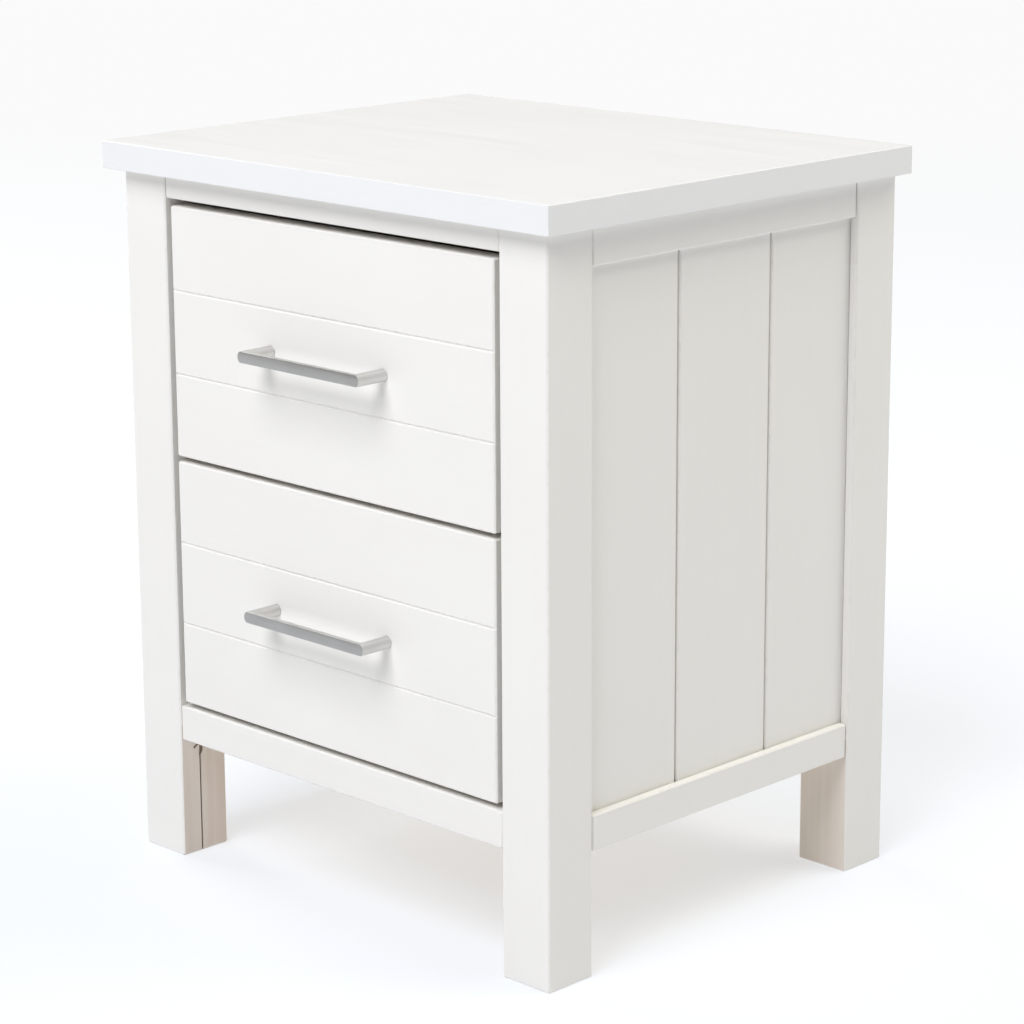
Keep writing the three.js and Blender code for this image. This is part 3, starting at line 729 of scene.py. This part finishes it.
def add_screw(screws, recesses, profile, point, direction):
    """Adds a screw to one mesh, and its tapered cross recess to another."""
    turn = facing_matrix(point, direction)
    lathe(screws, profile, turn, SCREW_SIDES)
    head = max(radius for radius, _ in profile)
    top = profile[-1][1]
    arm = RECESS_ARM * head
    half = RECESS_WIDTH * head
    floor = top - RECESS_DEPTH * head
    mouth_loop = cross_loop(arm, half, top + 0.1 * head)
    floor_loop = cross_loop(RECESS_FLOOR_ARM * arm, RECESS_FLOOR_WIDTH * half, floor)
    spin = turn @ Matrix.Rotation(RECESS_TURN, 4, "Z")
    tube(recesses, [[spin @ Vector(corner) for corner in loop] for loop in (mouth_loop, floor_loop)])


def make_screws(name, body, profile, places):
    """One piece that holds a group of screws, given by their points and directions."""
    screws = bmesh.new()
    recesses = bmesh.new()
    for point, direction in places:
        add_screw(screws, recesses, profile, Vector(point), direction)
    piece = new_object(name, screws, SCREW_STEEL, smooth=math.radians(40))
    carve(piece, recesses)
    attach(piece, body)
    return piece


def make_handle_screws(drawer):
    for side in SIDES:
        node = f"{drawer}_handle_{side}_screw"
        low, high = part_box(node)
        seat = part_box(f"{drawer}_drawer_inner_front")[1].y + HANDLE_SEAT_GAP
        centre = middle((low, high))
        profile = pan_profile(HANDLE_SHANK, seat - low.y, (high.x - low.x) / 2, high.y - seat)
        place = (Vector((centre.x, seat, centre.z)), (0, 1, 0))
        piece = make_screws(f"{drawer}_handle_{side}_bolt", f"{drawer}_drawer", profile, [place])
        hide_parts(node)


def make_front_screws(drawer):
    """Four screws from inside each box hold its front."""
    low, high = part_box(f"{drawer}_drawer_inner_front")
    profile = pan_profile(*FRONT_SCREW)
    places = []
    for x in (low.x + FRONT_SCREW_INSET, high.x - FRONT_SCREW_INSET):
        for z in (low.z + FRONT_SCREW_INSET, high.z - FRONT_SCREW_INSET):
            places.append(((x, high.y, z), (0, 1, 0)))
    make_screws(f"{drawer}_front_screws", f"{drawer}_drawer", profile, places)


def make_top_screws(side):
    """Three screws up through each cleat hold the top."""
    low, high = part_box(f"{side}_top_cleat")
    profile = pan_profile(*TOP_SCREW)
    x = (low.x + high.x) / 2
    places = []
    for share in TOP_SCREW_PLACES:
        places.append(((x, low.y + share * (high.y - low.y), low.z), (0, 0, -1)))
    make_screws(f"{side}_top_screws", "case", profile, places)


# ---- Slides ----


def bent(points, radius, steps=4):
    """A polyline with its inner corners rounded."""
    line = [Vector(points[0])]
    for before, corner, after in zip(points, points[1:], points[2:]):
        corner = Vector(corner)
        start = corner + (Vector(before) - corner).normalized() * radius
        end = corner + (Vector(after) - corner).normalized() * radius
        for i in range(steps + 1):
            t = i / steps
            line.append(start * (1 - t) ** 2 + corner * 2 * t * (1 - t) + end * t**2)
    line.append(Vector(points[-1]))
    return line


def thickened(line, thickness):
    """The closed outline of a bent sheet around a polyline, with its two edges rounded."""
    left = []
    right = []
    for i, point in enumerate(line):
        ahead = line[min(i + 1, len(line) - 1)] - line[max(i - 1, 0)]
        across = Vector((-ahead.y, ahead.x)).normalized() * thickness / 2
        left.append(point + across)
        right.append(point - across)
    caps = []
    for end, inner in ((line[-1], line[-2]), (line[0], line[1])):
        caps.append(end + (end - inner).normalized() * 0.35 * thickness)
    return left + [caps[0]] + right[::-1] + [caps[1]]


def add_channel(mesh, line, thickness, web, reach, z, y):
    """A bent sheet along Y. Its line is (distance from the web's plane, height above the middle)."""
    loops = []
    outline = thickened(line, thickness)
    for end in y:
        loops.append([(web + reach * point.x, end, z + point.y) for point in outline])
    tube(mesh, loops)


def channel_line(depth, half, thickness, lip):
    """The middle line of a channel's section: lower lip, flange, web, flange and upper lip."""
    inset = thickness / 2
    flange = half - inset
    upper = [(inset, flange), (depth - 3 * BEND_RADIUS, flange), (depth - inset, flange - lip)]
    lower = [(d, -z) for d, z in reversed(upper)]
    return bent(lower + upper, BEND_RADIUS)


def web_planes(node, side):
    """Where a slide member's web starts, and which way its flanges reach along X."""
    low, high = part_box(node)
    inwards = -side
    if "drawer_member" in node:
        return (low.x if side > 0 else high.x), side
    return (high.x if side > 0 else low.x), inwards


def slide_places(low, high, shares):
    """Points along a slide, as shares of its length."""
    return [low.y + share * (high.y - low.y) for share in shares]


def hole_cutters(web, reach, z, places):
    """Cutters for a row of round holes and slots through a web."""
    mesh = bmesh.new()
    for i, y in enumerate(places):
        turn = facing_matrix((web - reach * CUTTER_LENGTH / 2, y, z), (reach, 0, 0))
        lathe(mesh, [(HOLE_RADIUS, 0), (HOLE_RADIUS, CUTTER_LENGTH)], turn, HOLE_SIDES)
        slot = Matrix.Translation((web, y + SLOT_PAST_HOLE, z))
        along_y, along_z = (SLOT_WIDTH, SLOT_LENGTH) if i % 2 == 0 else (SLOT_LENGTH, SLOT_WIDTH)
        add_block(mesh, (CUTTER_LENGTH, along_y, along_z), slot)
    return mesh


def make_member(node, side, lip, holes):
    """A slide's channel, rolled from sheet with rounded bends, lips and a row of holes."""
    low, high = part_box(node)
    web, reach = web_planes(node, side)
    z = (low.z + high.z) / 2
    line = channel_line(high.x - low.x, (high.z - low.z) / 2, SHEET, lip)
    mesh = bmesh.new()
    add_channel(mesh, line, SHEET, web, reach, z, (low.y, high.y))
    piece = new_object(node.replace("member", "channel"), mesh, SLIDE_STEEL, smooth=math.radians(30))
    if holes:
        carve(piece, hole_cutters(web, reach, z, slide_places(low, high, SLIDE_HOLES)))
    stand_for(piece, node)


def make_cage(name, body, outer, inner, side):
    """Balls in a slim cage between two members, along the stretch that always overlaps."""
    outer_low, outer_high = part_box(outer)
    inner_low, inner_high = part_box(inner)
    z = (outer_low.z + outer_high.z) / 2
    outer_half = (outer_high.z - outer_low.z) / 2 - SHEET
    inner_half = (inner_high.z - inner_low.z) / 2
    race = (outer_half + inner_half) / 2
    web, reach = web_planes(outer, side)
    web += reach * (SHEET + CAGE_CLEARANCE)
    start = outer_low.y + CAGE_START
    end = start + (CAGE_BALLS + 1) * BALL_PITCH
    section = [(CAGE_DEPTH, -race), (0, -race), (0, race), (CAGE_DEPTH, race)]
    mesh = bmesh.new()
    add_channel(mesh, bent(section, BEND_RADIUS), CAGE_SHEET, web, reach, z, (start, end))
    for i in range(CAGE_BALLS):
        for height in (-race, race):
            ball_x = web + reach * BALL_DEPTH * CAGE_DEPTH
            point = Vector((ball_x, start + (i + 1) * BALL_PITCH, z + height))
            bmesh.ops.create_uvsphere(mesh, u_segments=16, v_segments=8, radius=BALL_RADIUS,
                                      matrix=Matrix.Translation(point))
    piece = new_object(name, mesh, BALL_STEEL, smooth=math.radians(50))
    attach(piece, body)


def make_slide_screws(drawer, side_name, side):
    """Countersunk screws that fix a slide to the case and to the drawer box."""
    profile = flat_profile(*SLIDE_SCREW)
    slide = f"{drawer}_{side_name}_slide"
    for member, body in (("case", "case"), ("drawer", f"{drawer}_drawer")):
        node = f"{slide}_{member}_member"
        low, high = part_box(node)
        web, reach = web_planes(node, side)
        z = (low.z + high.z) / 2
        point_x = web + reach * (SHEET + SLIDE_SCREW_PROUD)
        places = [((point_x, y, z), (reach, 0, 0)) for y in slide_places(low, high, SLIDE_SCREWS)]
        make_screws(f"{slide}_{member}_screws", body, profile, places)


def make_slide(drawer, side_name, side):
    slide = f"{drawer}_{side_name}_slide"
    case, between, box = [f"{slide}_{part}_member" for part in ("case", "middle", "drawer")]
    make_member(case, side, LIP_DROP, True)
    make_member(between, side, 0.0, False)
    make_member(box, side, 0.0, True)
    make_cage(f"{slide}_outer_cage", "case", case, between, side)
    make_cage(f"{slide}_inner_cage", f"{drawer}_slide_middles", between, box, side)
    make_slide_screws(drawer, side_name, side)


dress_timber()
for drawer in DRAWERS:
    make_handle(drawer)
    make_handle_screws(drawer)
    make_front_screws(drawer)
    for side_name, side in SIDES.items():
        make_slide(drawer, side_name, side)
for side_name in SIDES:
    make_top_screws(side_name)
make_world()
for name, values in SOFTBOXES.items():
    make_softbox(f"{name}_softbox", *values)
make_camera()
make_floor()
bpy.context.scene.view_settings.view_transform = "Standard"
